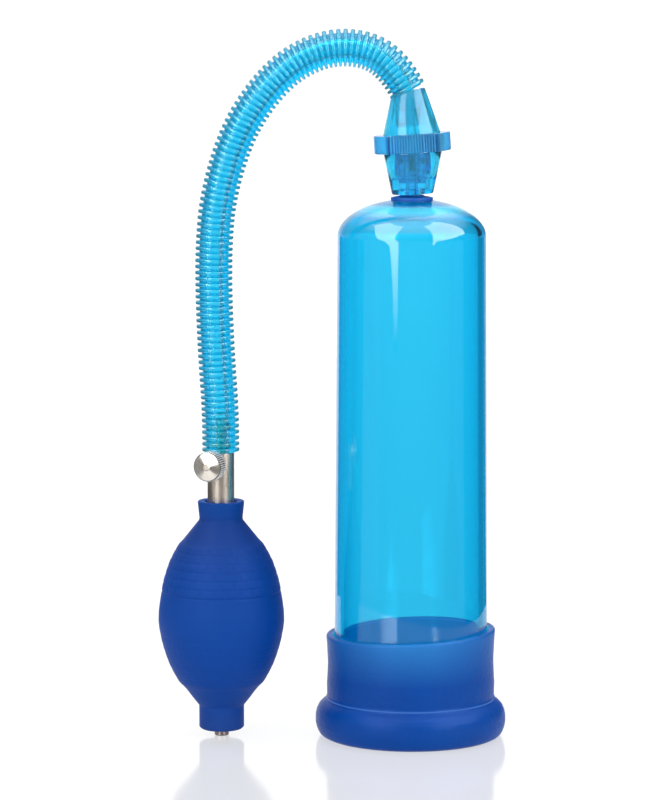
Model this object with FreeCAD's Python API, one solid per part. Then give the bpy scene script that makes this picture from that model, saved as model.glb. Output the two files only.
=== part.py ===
import FreeCAD, Part
import math
import os

# Hand-bulb vacuum pump: a clear cylinder standing in a soft sealing sleeve, a push-on hose
# coupling on its dome, a ribbed hose, a release valve, and a squeeze bulb with two check valves.
# Millimetres. Origin: on the cylinder's axis, on the surface the sleeve stands on. +Z is up,
# the bulb stands on the -X side, and the valve's thumb screw faces -Y.

Vec = FreeCAD.Vector

# ---- Driving dimensions ---------------------------------------------------------------------

# Clear cylinder: drafted wall, wider at the open end, with a 2:1 elliptical dome.
TUBE_FOOT_Z = 7.5
TUBE_FOOT_R = 29.40
TUBE_TOP_R = 28.20
TUBE_WALL = 2.9
TUBE_EDGE = 0.8
DOME_Z = 191.8
DOME_RISE = 14.3

# Nipple moulded on the dome, and the rubber gasket around its root.
GASKET_SEAT_Z = 205.0
GASKET_R = 8.0
GASKET_SHOULDER = (206.3, 207.2)
GASKET_TOP_R = 4.65
GASKET_TOP_Z = 207.5
NIPPLE_R = 2.3
NIPPLE_BORE_R = 1.1
NIPPLE_TOP_Z = 222.4
NIPPLE_CHAMFER = 0.6

# Rubber bush in the coupling, gripping the nipple.
BUSH_LOW_Z = 212.4
BUSH_TOP_Z = 221.6
BUSH_FLANGE_R = 5.2
BUSH_WAIST_R = 3.6
BUSH_FLANGE = 2.4
RUNNING_GAP = 0.05

# Soft sealing sleeve.
SLEEVE_BORE_R = 29.45
SLEEVE_TOP_Z = 40.7
SLEEVE_WALL_R = 32.2
RING_SIDE_R = 10.0
RING_MID_Z = 7.2
RING_TOP_Z = 14.6
RING_SHOULDER_R = 34.3
RING_SHOULDER_Z = 0.9
RING_EDGE_R = 6.0
WALL_WAIST_R = 31.8
RIM_ROUND = 0.8
SEAT_FLAT_R = 31.0
MOUTH_BEVEL = 1.8
MOUTH_R = 19.0
MOUTH_LOW_Z = 1.8
MOUTH_TOP_Z = 5.4

# Hose coupling. Each station is a round section: centre x, centre z, lean towards -X, radius.
BASE_STATION = (0.28, 207.95, 2.4, 7.95)
RING_LOW_STATION = (0.28, 223.75, 3.6, 11.15)
RING_TOP_STATION = (-0.15, 230.6, 3.6, 10.85)
MOUTH_STATION = (-1.6, 246.5, 13.2, 6.5)
SOCKET_BORE_R = 5.5
SOCKET_TUBE_R = 6.9
SOCKET_ENTRY_R = 3.4
SOCKET_FLOOR = 2.2
SOCKET_POCKET = (0.28, 214.0, 3.0, 9.2)
SHELL = 1.7
GRIP_R = 14.6
GRIP_FLAT = 11.6
GRIP_HOLE_R = 10.05
GRIP_HEIGHT = 6.85
FLUTE_PITCH = 1.03
FLUTE_COUNT = 21
FLUTE_R = 0.36
NECK_R = 10.0
NECK_BORE_R = 8.3
INSERT_FLANGE = 1.5
INSERT_R = 9.1

# Hose: ribbed outside diameter, plain end in the coupling, bore, and the points of its route.
HOSE_R = 7.15
HOSE_END_R = 5.6
HOSE_BORE_R = 2.5
HOSE_END_DEPTH = 13.4
HOSE_ROUTE = [
    (-1.6, 0, 246.5), (-5.0, 0, 253.0), (-13.5, 0, 261.0), (-25.5, 0, 263.5),
    (-37.5, 0, 261.0), (-49.0, 0, 254.0), (-60.5, 0, 240.5), (-68.0, 0, 225.5),
    (-73.5, 0, 205.5), (-75.0, 0, 187.0), (-74.9, 0, 166.0), (-73.9, 0, 144.0),
    (-72.5, 0, 124.0), (-72.5, 0, 109.5),
]
ARC_SHARE = 0.45

# Bulb and valves: all on one upright axis.
BULB_X = -72.5
VALVE_R = 5.15
VALVE_LOW_Z = 79.5
VALVE_TOP_Z = 109.5
VALVE_BORE_R = 1.2
BARB_CORE_R = 1.95
BARB_RIDGE_R = 2.9
BARB_LENGTH = 13.2
NECK_FIT_R = 5.2
BULB_RIM = (8.95, 91.0)
BULB_NECK = (8.2, 83.7)
BULB_SHOULDER = (15.6, 74.8)
BULB_WIDEST = (24.1, 45.0)
BULB_LOWER_EDGE = (14.0, 18.6)
BULB_LOWER_NECK = (8.65, 11.9)
BULB_FOOT = (8.6, 4.1)
BULB_FOOT_FLAT = (7.0, 2.6)
BULB_UPPER_SIDE_R = 56.0
BULB_LOWER_SIDE_R = 39.5
FOOT_ROUND = 1.7
BULB_WALL = 2.6
HOLLOW_TOP_Z = 79.0
HOLLOW_SHOULDER = (13.2, 72.4)
HOLLOW_LOWER_EDGE = (11.6, 20.6)
HOLLOW_LOW_Z = 13.7
HOLLOW_UPPER_SIDE_R = 52.0
HOLLOW_LOWER_SIDE_R = 38.0
STEM_R = 2.75
STEM_BORE_R = 1.5
STEM_EDGE = 0.3
STEM_SLOT = (0.9, 0.7)
EXHAUST_LOW_Z = 4.1
EXHAUST_TOP_Z = 13.6

# Check valves: each is a cage, a ball and a seat in a round chamber.
CHAMBER_R = 3.0
CHAMBER_DEPTH = 7.5
BALL_R = 1.75
BALL_LIFT = 0.8
CAGE_THICK = 1.1
SEAT_BORE_R = 1.1
SEAT_HEIGHT = 2.45
EXHAUST_CAGE_Z = 5.5
INTAKE_CAGE_Z = 80.5
FIT_GAP = 0.02

# Release valve: needle and knurled thumb screw, square to the bulb's axis.
SCREW_TURN = 19.5
SCREW_Z = 105.5
BOSS_R = 3.1
BOSS_END = 8.2
PACKING_WELL_R = 2.35
PACKING_WELL = 1.3
PACKING_R = 0.42
VENT_R = 0.5
ORIFICE_R = 0.6
NEEDLE_TIP = 2.4
NEEDLE_R = 1.4
NEEDLE_NOSE_R = 0.95
NEEDLE_THREAD_FROM = 6.0
KNOB_R = 5.7
KNOB_ROOT_R = 5.45
KNOB_BACK = 9.0
KNOB_THICK = 6.3
KNOB_TEETH = 42
KNOB_CONE_R = 5.1
KNOB_CONE_RISE = 0.9


# ---- Helpers --------------------------------------------------------------------------------

def line(start, end):
    return Part.LineSegment(Vec(start[0], 0, start[1]), Vec(end[0], 0, end[1])).toShape()


def arc(start, mid, end):
    points = [Vec(r, 0, z) for r, z in (start, mid, end)]
    return Part.Arc(*points).toShape()


def side_arc(start, end, radius):
    """Edge from start to end in the (r, z) plane, bulging away from the axis."""
    middle = Vec((start[0] + end[0]) / 2, 0, (start[1] + end[1]) / 2)
    chord = Vec(end[0] - start[0], 0, end[1] - start[1])
    rise = radius - math.sqrt(radius ** 2 - chord.Length ** 2 / 4)
    normal = Vec(chord.z, 0, -chord.x).normalize()
    if normal.x < 0:
        normal = normal * -1
    top = middle + normal * rise
    return arc(start, (top.x, top.z), end)


def dome_edge(radius, rise):
    """Quarter of the dome's ellipse, from the wall to the axis."""
    centre = Vec(0, 0, DOME_Z)
    side = Vec(radius, 0, DOME_Z)
    crown = Vec(0, 0, DOME_Z + rise)
    return Part.Ellipse(side, crown, centre).toShape(0, math.pi / 2)


def revolve(edges):
    """Solid of revolution about Z from the closed outline that the edges make."""
    face = Part.Face(Part.Wire(Part.__sortEdges__(edges)))
    solid = face.revolve(Vec(0, 0, 0), Vec(0, 0, 1), 360)
    return Part.Solid(Part.Shell(solid.Faces))


def lathe(points):
    """Solid of revolution about Z from straight-sided (r, z) points."""
    return revolve([line(a, b) for a, b in zip(points, points[1:] + points[:1])])


def drum(radius, low, high):
    return Part.makeCylinder(radius, high - low, Vec(0, 0, low))


def tube(radius, bore, low, high):
    return drum(radius, low, high).cut(drum(bore, low - 1, high + 1))


def lean(shape, centre_x, centre_z, degrees):
    """Tip a shape about its own origin towards -X, then carry it to a centre in the XZ plane."""
    placed = shape.copy()
    placed.rotate(Vec(0, 0, 0), Vec(0, 1, 0), -degrees)
    placed.translate(Vec(centre_x, 0, centre_z))
    return placed


def to_bulb(shape):
    moved = shape.copy()
    moved.translate(Vec(BULB_X, 0, 0))
    return moved


def along_screw(shape):
    """Carry a shape built on +Z to the release screw's axis; z is the distance from the bulb's."""
    placed = shape.copy()
    placed.rotate(Vec(0, 0, 0), Vec(1, 0, 0), 90)
    placed.rotate(Vec(0, 0, 0), Vec(0, 0, 1), -SCREW_TURN)
    placed.translate(Vec(BULB_X, 0, SCREW_Z))
    return placed


def section(station, shrink=0.0):
    """Round wire at a coupling station."""
    x, z, degrees, radius = station
    circle = Part.Wire(Part.makeCircle(radius - shrink, Vec(0, 0, 0), Vec(0, 0, 1)))
    return lean(circle, x, z, degrees)


def taper(low, high, shrink=0.0):
    """Tapered solid between two stations."""
    return Part.makeLoft([section(low, shrink), section(high, shrink)], True, True)


def barb(length):
    """Solid hose barb on +Z from 0: two ridges, each a cone with a sharp step towards the root."""
    core, ridge = BARB_CORE_R, BARB_RIDGE_R
    return lathe([
        (0, -0.5), (core, -0.5), (core, 0.2 * length), (ridge, 0.2 * length),
        (core + 0.1, 0.5 * length), (core, 0.5 * length), (core, 0.7 * length),
        (ridge, 0.7 * length), (core, length), (0, length),
    ])


# ---- Cylinder, gasket and sleeve ------------------------------------------------------------

def make_cylinder():
    """Drafted clear tube with its dome, gasket recess and moulded nipple."""
    foot_in = (TUBE_FOOT_R - TUBE_WALL, TUBE_FOOT_Z)
    foot_out = (TUBE_FOOT_R - TUBE_EDGE, TUBE_FOOT_Z)
    wall_low = (TUBE_FOOT_R, TUBE_FOOT_Z + TUBE_EDGE)
    wall_top = (TUBE_TOP_R, DOME_Z)
    bore_top = (TUBE_TOP_R - TUBE_WALL, DOME_Z)
    inner_rise = DOME_RISE - TUBE_WALL
    shell = revolve([
        line(foot_in, foot_out),
        side_arc(foot_out, wall_low, TUBE_EDGE),
        line(wall_low, wall_top),
        dome_edge(TUBE_TOP_R, DOME_RISE),
        line((0, DOME_Z + DOME_RISE), (0, DOME_Z + inner_rise)),
        dome_edge(TUBE_TOP_R - TUBE_WALL, inner_rise),
        line(bore_top, foot_in),
    ])
    recess = drum(GASKET_R + FIT_GAP, GASKET_SEAT_Z, DOME_Z + 2 * DOME_RISE)
    nipple = lathe([
        (0, GASKET_SEAT_Z - 0.5), (NIPPLE_R, GASKET_SEAT_Z - 0.5),
        (NIPPLE_R, NIPPLE_TOP_Z - NIPPLE_CHAMFER), (NIPPLE_R - NIPPLE_CHAMFER, NIPPLE_TOP_Z),
        (0, NIPPLE_TOP_Z),
    ])
    air_way = drum(NIPPLE_BORE_R, DOME_Z, NIPPLE_TOP_Z + 1)
    return shell.cut(recess).fuse(nipple).removeSplitter().cut(air_way)


def make_gasket():
    """Rubber gasket: a disc with a sloped shoulder and a short neck that meets the coupling."""
    bore = NIPPLE_R + FIT_GAP
    shoulder_low, shoulder_top = GASKET_SHOULDER
    return lathe([
        (bore, GASKET_SEAT_Z), (GASKET_R, GASKET_SEAT_Z), (GASKET_R, shoulder_low),
        (GASKET_TOP_R, shoulder_top), (GASKET_TOP_R, GASKET_TOP_Z), (bore, GASKET_TOP_Z),
    ])


def make_sleeve():
    """Soft sleeve: a straight wall over a thick ring, with a lip around the open mouth."""
    ring_low = (RING_SHOULDER_R, RING_SHOULDER_Z)
    ring_top = (RING_SHOULDER_R, 2 * RING_MID_Z - RING_SHOULDER_Z)
    wall_foot = (WALL_WAIST_R, RING_TOP_Z + 0.4)
    wall_full = (SLEEVE_WALL_R, RING_TOP_Z + 5)
    rim_side = (SLEEVE_WALL_R, SLEEVE_TOP_Z - RIM_ROUND)
    rim_top = (SLEEVE_WALL_R - RIM_ROUND, SLEEVE_TOP_Z)
    bore_top = (SLEEVE_BORE_R, SLEEVE_TOP_Z)
    seat_side = (SLEEVE_BORE_R, TUBE_FOOT_Z)
    seat_edge = (TUBE_FOOT_R - TUBE_WALL, TUBE_FOOT_Z)
    mouth_top = (MOUTH_R, MOUTH_TOP_Z)
    mouth_low = (MOUTH_R, MOUTH_LOW_Z)
    mouth_foot = (MOUTH_R + MOUTH_BEVEL, 0)
    seat_flat = (SEAT_FLAT_R, 0)
    return revolve([
        line(mouth_foot, seat_flat),
        side_arc(seat_flat, ring_low, RING_EDGE_R),
        side_arc(ring_low, ring_top, RING_SIDE_R),
        line(ring_top, wall_foot),
        line(wall_foot, wall_full),
        line(wall_full, rim_side),
        side_arc(rim_side, rim_top, RIM_ROUND),
        line(rim_top, bore_top),
        line(bore_top, seat_side),
        line(seat_side, seat_edge),
        line(seat_edge, mouth_top),
        line(mouth_top, mouth_low),
        line(mouth_low, mouth_foot),
    ])


# ---- Coupling -------------------------------------------------------------------------------

def make_bush():
    """Spool-shaped rubber bush on the nipple."""
    bore = NIPPLE_R + RUNNING_GAP
    low_shoulder = BUSH_LOW_Z + BUSH_FLANGE
    top_shoulder = BUSH_TOP_Z - BUSH_FLANGE
    return lathe([
        (bore, BUSH_LOW_Z), (BUSH_FLANGE_R, BUSH_LOW_Z), (BUSH_FLANGE_R, low_shoulder),
        (BUSH_WAIST_R, low_shoulder), (BUSH_WAIST_R, top_shoulder),
        (BUSH_FLANGE_R, top_shoulder), (BUSH_FLANGE_R, BUSH_TOP_Z), (bore, BUSH_TOP_Z),
    ])


def grip_centre():
    """Centre of the grip ring, half way between its two stations."""
    low, top = RING_LOW_STATION, RING_TOP_STATION
    return (low[0] + top[0]) / 2, (low[1] + top[1]) / 2


def in_grip_frame(shape):
    x, z = grip_centre()
    return lean(shape, x, z, RING_LOW_STATION[2])


def make_socket():
    """Lower shell: a tapered cup around the bush, with a neck that the grip ring fits over."""
    outer = taper(BASE_STATION, RING_LOW_STATION)
    low, top = BASE_STATION[1] - 5, MOUTH_STATION[1]
    pocket = taper(SOCKET_POCKET, RING_LOW_STATION, SHELL).cut(drum(SOCKET_TUBE_R, low, top))
    half = GRIP_HEIGHT / 2
    neck = in_grip_frame(tube(NECK_R, NECK_BORE_R, -half - 0.3, half - INSERT_FLANGE))
    bore = drum(SOCKET_BORE_R, BASE_STATION[1] + SOCKET_FLOOR, top)
    entry = drum(SOCKET_ENTRY_R, low, top)
    body = outer.cut(in_grip_frame(drum(2 * GRIP_R, -half, GRIP_HEIGHT)))
    return body.cut(pocket).fuse(neck).cut(bore).cut(entry)


def make_grip_ring():
    """Round ring with two opposite flats, each flat fluted for the fingers."""
    half = GRIP_HEIGHT / 2
    disc = drum(GRIP_R, -half, half)
    slab = Part.makeBox(4 * GRIP_R, 2 * GRIP_FLAT, GRIP_HEIGHT, Vec(-2 * GRIP_R, -GRIP_FLAT, -half))
    flutes = []
    for index in range(FLUTE_COUNT):
        x = (index - (FLUTE_COUNT - 1) / 2) * FLUTE_PITCH
        for y in (-GRIP_FLAT, GRIP_FLAT):
            flutes.append(Part.makeCylinder(FLUTE_R, GRIP_HEIGHT, Vec(x, y, -half)))
    ring = disc.common(slab).cut(drum(GRIP_HOLE_R, -half, half)).cut(flutes)
    return in_grip_frame(ring)


def cone_frame():
    """Foot, and lean in degrees, of the upper cone's axis."""
    foot_x, foot_z = RING_TOP_STATION[0], RING_TOP_STATION[1]
    run = foot_x - MOUTH_STATION[0]
    rise = MOUTH_STATION[1] - foot_z
    return foot_x, foot_z, math.degrees(math.atan2(run, rise))


def cone_length():
    foot_x, foot_z, _ = cone_frame()
    return math.hypot(MOUTH_STATION[0] - foot_x, MOUTH_STATION[1] - foot_z)


def below_mouth(depth=6):
    """Block under the plane of the coupling's slanted mouth."""
    x, z, degrees, _ = MOUTH_STATION
    return lean(Part.makeBox(30, 30, depth, Vec(-15, -15, -depth)), x, z, degrees)


def make_cuff():
    """Upper shell: a tapered cuff that closes on the hose's plain end."""
    outer = taper(RING_TOP_STATION, MOUTH_STATION)
    x, z, degrees = cone_frame()
    throat_r = HOSE_END_R + RUNNING_GAP
    throat = lean(drum(throat_r, -5, 2 * cone_length()), x, z, degrees)
    inner_low = (*RING_TOP_STATION[:3], RING_TOP_STATION[3] - SHELL)
    inner_top = (*MOUTH_STATION[:3], throat_r)
    return outer.cut(taper(inner_low, inner_top)).cut(throat)


def make_insert():
    """Flanged insert on the socket's neck, with a barb up into the hose."""
    half = GRIP_HEIGHT / 2
    flange = in_grip_frame(drum(INSERT_R, half - INSERT_FLANGE, half))
    x, z, degrees = cone_frame()
    spigot = lean(barb(BARB_LENGTH), x, z, degrees)
    air_way = lean(drum(VALVE_BORE_R, -5, BARB_LENGTH + 1), x, z, degrees)
    return flange.fuse(spigot).cut(air_way)


# ---- Hose -----------------------------------------------------------------------------------

def hose_path(points):
    """Straight runs joined by tangent arcs; each arc is as large as its two runs allow."""
    corners = [Vec(*p) for p in points]
    edges = []
    radii = []
    start = corners[0]
    for before, corner, after in zip(corners, corners[1:], corners[2:]):
        run_in = corner - before
        run_out = after - corner
        turn = run_in.getAngle(run_out)
        radius = ARC_SHARE * min(run_in.Length, run_out.Length) / math.tan(turn / 2)
        setback = radius * math.tan(turn / 2)
        arc_start = corner - run_in.normalize() * setback
        arc_end = corner + run_out.normalize() * setback
        inward = (arc_start + arc_end) * 0.5 - corner
        to_arc = radius / math.cos(turn / 2) - radius
        arc_mid = corner + inward.normalize() * to_arc
        edges.append(Part.LineSegment(start, arc_start).toShape())
        edges.append(Part.Arc(arc_start, arc_mid, arc_end).toShape())
        radii.append(radius)
        start = arc_end
    edges.append(Part.LineSegment(start, corners[-1]).toShape())
    return Part.Wire(edges), radii


def sweep(path, radius):
    first = path.OrderedEdges[0]
    heading = first.tangentAt(first.FirstParameter)
    ring = Part.Wire(Part.makeCircle(radius, first.valueAt(first.FirstParameter), heading))
    return path.makePipeShell([ring], True, False)


def make_hose():
    """Free hose, with its bore, cut flush with the coupling's mouth, and its plain end inside."""
    path, radii = hose_path(HOSE_ROUTE)
    hose = sweep(path, HOSE_R).cut(sweep(path, HOSE_BORE_R))
    area = math.pi * (HOSE_R ** 2 - HOSE_BORE_R ** 2)
    print("hose bend radii:", [round(radius, 1) for radius in radii])
    print("hose length %.1f, volume / (area x length) %.4f"
          % (path.Length, hose.Volume / (area * path.Length)))
    first, second = Vec(*HOSE_ROUTE[0]), Vec(*HOSE_ROUTE[1])
    heading = (second - first).normalize()
    root = Part.makeCylinder(HOSE_R, 3, first - heading * 3, heading)
    free = hose.fuse(root).cut(below_mouth())
    x, z, degrees = cone_frame()
    depth = cone_length()
    plain = lean(drum(HOSE_END_R, depth - HOSE_END_DEPTH, depth + 3), x, z, degrees)
    bore = lean(drum(HOSE_BORE_R, -5, depth + 1.5), x, z, degrees)
    return free.fuse(plain.common(below_mouth(2 * HOSE_END_DEPTH))).cut(bore)


# ---- Release valve and check valves ---------------------------------------------------------

def make_valve_body():
    """Valve tube: hose barb on top, side boss for the needle, check-valve chamber below."""
    body = drum(VALVE_R, VALVE_LOW_Z, VALVE_TOP_Z)
    spigot = barb(BARB_LENGTH)
    spigot.translate(Vec(0, 0, VALVE_TOP_Z))
    boss = along_screw(drum(BOSS_R, 0, BOSS_END))
    body = to_bulb(body.fuse(spigot)).fuse(boss)
    air_way = to_bulb(drum(VALVE_BORE_R, VALVE_LOW_Z - 1, VALVE_TOP_Z + BARB_LENGTH + 1))
    chamber = to_bulb(drum(CHAMBER_R, VALVE_LOW_Z - 1, INTAKE_CAGE_Z + CHAMBER_DEPTH))
    orifice = along_screw(drum(ORIFICE_R, 0, NEEDLE_TIP + 0.5))
    nose_well = along_screw(drum(NEEDLE_R + RUNNING_GAP, NEEDLE_TIP, BOSS_END + 1))
    packing_well = along_screw(drum(PACKING_WELL_R, BOSS_END - PACKING_WELL, BOSS_END + 1))
    vent = Part.makeCylinder(VENT_R, BOSS_R + 1, Vec(0, 0, 0), Vec(0, -1, 0))
    vent.translate(Vec(0, 0, VALVE_R + 0.3))
    return body.cut([air_way, chamber, orifice, nose_well, packing_well, along_screw(vent)])


def make_needle():
    """Release needle: conical tip on its seat, thinner nose, threaded shank, knob spindle."""
    return along_screw(lathe([
        (0, NEEDLE_TIP - 0.55), (0.3, NEEDLE_TIP - 0.55), (NEEDLE_NOSE_R, NEEDLE_TIP + 0.85),
        (NEEDLE_NOSE_R, NEEDLE_THREAD_FROM), (NEEDLE_R, NEEDLE_THREAD_FROM + 0.45),
        (NEEDLE_R, KNOB_BACK + KNOB_THICK), (NEEDLE_R - 0.3, KNOB_BACK + KNOB_THICK + 0.3),
        (0, KNOB_BACK + KNOB_THICK + 0.3),
    ]))


def make_needle_packing():
    """O-ring around the needle in the boss."""
    middle = (NEEDLE_R + PACKING_WELL_R + RUNNING_GAP) / 2
    torus = Part.makeTorus(middle, PACKING_R, Vec(0, 0, BOSS_END - PACKING_WELL / 2))
    return along_screw(torus)


def make_knob():
    """Thumb screw head: knurled rim and a face that rises to the spindle as a shallow cone."""
    rim = []
    for index in range(2 * KNOB_TEETH):
        angle = math.pi * index / KNOB_TEETH
        radius = KNOB_R if index % 2 else KNOB_ROOT_R
        rim.append(Vec(radius * math.cos(angle), radius * math.sin(angle), KNOB_BACK))
    face = Part.Face(Part.makePolygon(rim + rim[:1]))
    blank = face.extrude(Vec(0, 0, KNOB_THICK))
    front = KNOB_BACK + KNOB_THICK
    rim_z = front - KNOB_CONE_RISE
    slope = lathe([(0, KNOB_BACK - 1), (KNOB_ROOT_R, KNOB_BACK - 1), (KNOB_R + 0.2, KNOB_BACK + 0.6),
                   (KNOB_R + 0.2, rim_z - 0.5), (KNOB_ROOT_R - 0.05, rim_z), (KNOB_CONE_R, rim_z),
                   (NEEDLE_R, front), (0, front)])
    spindle_hole = drum(NEEDLE_R + RUNNING_GAP, KNOB_BACK - 2, front + 1)
    return along_screw(blank.common(slope).cut(spindle_hole))


def make_seat(cage_z):
    """Check-valve seat: a ring whose lower edge the ball closes against."""
    low = cage_z + CAGE_THICK + BALL_R + BALL_LIFT + math.sqrt(BALL_R ** 2 - SEAT_BORE_R ** 2) + 0.03
    return to_bulb(tube(CHAMBER_R - FIT_GAP, SEAT_BORE_R, low, low + SEAT_HEIGHT))


def make_ball(cage_z):
    """Check-valve ball, resting on its cage."""
    centre = Vec(0, 0, cage_z + CAGE_THICK + BALL_R + FIT_GAP)
    return to_bulb(Part.makeSphere(BALL_R, centre))


def make_cage(cage_z):
    """Perforated disc that stops the ball and lets air past it."""
    disc = drum(CHAMBER_R - FIT_GAP, cage_z, cage_z + CAGE_THICK)
    ports = []
    for quarter in range(4):
        angle = math.radians(45 + 90 * quarter)
        place = Vec(1.9 * math.cos(angle), 1.9 * math.sin(angle), cage_z - 1)
        ports.append(Part.makeCylinder(0.6, CAGE_THICK + 2, place))
    return to_bulb(disc.cut(ports))


def make_exhaust_body():
    """Exhaust fitting in the bulb's lower neck, with the short stem that the bulb stands on."""
    body = lathe([
        (STEM_BORE_R, 0), (STEM_R - STEM_EDGE, 0), (STEM_R, STEM_EDGE), (STEM_R, EXHAUST_LOW_Z),
        (VALVE_R, EXHAUST_LOW_Z), (VALVE_R, EXHAUST_TOP_Z), (CHAMBER_R, EXHAUST_TOP_Z),
        (CHAMBER_R, EXHAUST_CAGE_Z), (STEM_BORE_R, EXHAUST_CAGE_Z),
    ])
    width, height = STEM_SLOT
    slot = Part.makeBox(4 * STEM_R, width, height, Vec(-2 * STEM_R, -width / 2, 0))
    return to_bulb(body.cut(slot))


# ---- Bulb -----------------------------------------------------------------------------------

def make_bulb():
    """Hollow squeeze bulb: two necks, conical shoulders and a fuller band between them."""
    stem_hole_r = STEM_R + FIT_GAP
    ledge_z = EXHAUST_LOW_Z - 0.1
    hollow_top = (NECK_FIT_R, HOLLOW_TOP_Z)
    hollow_low = (NECK_FIT_R, HOLLOW_LOW_Z)
    hollow_widest = (BULB_WIDEST[0] - BULB_WALL, BULB_WIDEST[1])
    stem_hole_low = (stem_hole_r, BULB_FOOT_FLAT[1])
    stem_hole_top = (stem_hole_r, ledge_z)
    ledge = (NECK_FIT_R, ledge_z)
    socket_top = (NECK_FIT_R, BULB_RIM[1])
    return to_bulb(revolve([
        line(BULB_RIM, BULB_NECK),
        line(BULB_NECK, BULB_SHOULDER),
        side_arc(BULB_SHOULDER, BULB_WIDEST, BULB_UPPER_SIDE_R),
        side_arc(BULB_WIDEST, BULB_LOWER_EDGE, BULB_LOWER_SIDE_R),
        line(BULB_LOWER_EDGE, BULB_LOWER_NECK),
        line(BULB_LOWER_NECK, BULB_FOOT),
        side_arc(BULB_FOOT, BULB_FOOT_FLAT, FOOT_ROUND),
        line(BULB_FOOT_FLAT, stem_hole_low),
        line(stem_hole_low, stem_hole_top),
        line(stem_hole_top, ledge),
        line(ledge, hollow_low),
        line(hollow_low, HOLLOW_LOWER_EDGE),
        side_arc(HOLLOW_LOWER_EDGE, hollow_widest, HOLLOW_LOWER_SIDE_R),
        side_arc(hollow_widest, HOLLOW_SHOULDER, HOLLOW_UPPER_SIDE_R),
        line(HOLLOW_SHOULDER, hollow_top),
        line(hollow_top, socket_top),
        line(socket_top, BULB_RIM),
    ]))


# ---- All nodes ------------------------------------------------------------------------------

def build():
    return {
        "cylinder": make_cylinder(),
        "nipple_gasket": make_gasket(),
        "sealing_sleeve": make_sleeve(),
        "coupling_bush": make_bush(),
        "coupling_socket": make_socket(),
        "coupling_grip_ring": make_grip_ring(),
        "coupling_cuff": make_cuff(),
        "coupling_insert": make_insert(),
        "hose": make_hose(),
        "valve_body": make_valve_body(),
        "release_needle": make_needle(),
        "needle_packing": make_needle_packing(),
        "release_knob": make_knob(),
        "intake_seat": make_seat(INTAKE_CAGE_Z),
        "intake_ball": make_ball(INTAKE_CAGE_Z),
        "intake_cage": make_cage(INTAKE_CAGE_Z),
        "bulb": make_bulb(),
        "exhaust_body": make_exhaust_body(),
        "exhaust_seat": make_seat(EXHAUST_CAGE_Z),
        "exhaust_ball": make_ball(EXHAUST_CAGE_Z),
        "exhaust_cage": make_cage(EXHAUST_CAGE_Z),
    }


os.makedirs("parts", exist_ok=True)
for name, shape in build().items():
    print("%-20s solids %d valid %s volume %.1f" % (name, len(shape.Solids), shape.isValid(), shape.Volume))
    shape.exportStep("parts/%s.step" % name)
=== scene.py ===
"""Looks for the hand-bulb vacuum pump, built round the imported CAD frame.

Pieces are drawn in millimetres; materials, the hose's route and the stage are in metres.
"""

import math

import bmesh
import bpy
import numpy as np
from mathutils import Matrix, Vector


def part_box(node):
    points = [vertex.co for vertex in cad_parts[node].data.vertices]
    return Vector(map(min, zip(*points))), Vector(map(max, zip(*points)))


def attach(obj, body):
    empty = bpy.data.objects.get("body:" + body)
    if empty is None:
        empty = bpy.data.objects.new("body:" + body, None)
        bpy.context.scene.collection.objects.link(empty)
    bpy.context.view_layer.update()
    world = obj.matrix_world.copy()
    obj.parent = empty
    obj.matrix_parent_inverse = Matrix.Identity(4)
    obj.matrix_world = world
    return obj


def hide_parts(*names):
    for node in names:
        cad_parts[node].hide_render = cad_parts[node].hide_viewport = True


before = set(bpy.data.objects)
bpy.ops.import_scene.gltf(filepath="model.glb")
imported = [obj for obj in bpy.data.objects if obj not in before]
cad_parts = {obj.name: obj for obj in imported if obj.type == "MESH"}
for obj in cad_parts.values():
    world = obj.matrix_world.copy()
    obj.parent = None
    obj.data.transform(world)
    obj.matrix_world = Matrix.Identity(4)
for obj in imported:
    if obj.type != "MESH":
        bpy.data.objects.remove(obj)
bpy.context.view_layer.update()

MM = 0.001
BULB_X = -72.5
SCREW_Z, SCREW_TURN = 105.5, 19.5  # the release screw's height, and its turn in degrees from the front


# ---- Mesh helpers ---------------------------------------------------------------------------

def placed(name, data):
    """A new object in the scene, made from its data."""
    made = bpy.data.objects.new(name, data)
    bpy.context.scene.collection.objects.link(made)
    return made


def piece(name, verts, faces, material, body, slot, stands_for=(), smooth_angle=35):
    """A mesh object from vertices and faces in millimetres, riding on its CAD body."""
    mesh = bpy.data.meshes.new(name)
    mesh.from_pydata([tuple(v) for v in np.asarray(verts) * MM], [], faces)
    mesh.validate()
    fix = bmesh.new()
    fix.from_mesh(mesh)
    bmesh.ops.recalc_face_normals(fix, faces=fix.faces)
    fix.to_mesh(mesh)
    fix.free()
    mesh.shade_smooth()
    mesh.set_sharp_from_angle(angle=math.radians(smooth_angle))
    mesh.materials.append(material)
    made = placed(name, mesh)
    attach(made, body)
    if stands_for:
        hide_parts(*stands_for)
    return made


def outline(points, steps=6):
    """Closed profile from (r, z) or (r, z, fillet) corners, each fillet drawn as a small arc."""
    corners = [np.array(p[:2], float) for p in points]
    fillets = [p[2] if len(p) > 2 else 0 for p in points]
    made = []
    count = len(points)
    for i, (corner, fillet) in enumerate(zip(corners, fillets)):
        if not fillet:
            made.append(corner)
            continue
        back = corners[i - 1] - corner
        ahead = corners[(i + 1) % count] - corner
        back_len, ahead_len = np.linalg.norm(back), np.linalg.norm(ahead)
        back, ahead = back / back_len, ahead / ahead_len
        half = math.acos(max(-1, min(1, float(back @ ahead)))) / 2
        setback = min(fillet / math.tan(half), 0.49 * back_len, 0.49 * ahead_len)
        for step in range(steps + 1):
            t = step / steps
            made.append(corner + back * setback * (1 - t) ** 2 + ahead * setback * t ** 2)
    return np.array(made)


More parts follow.
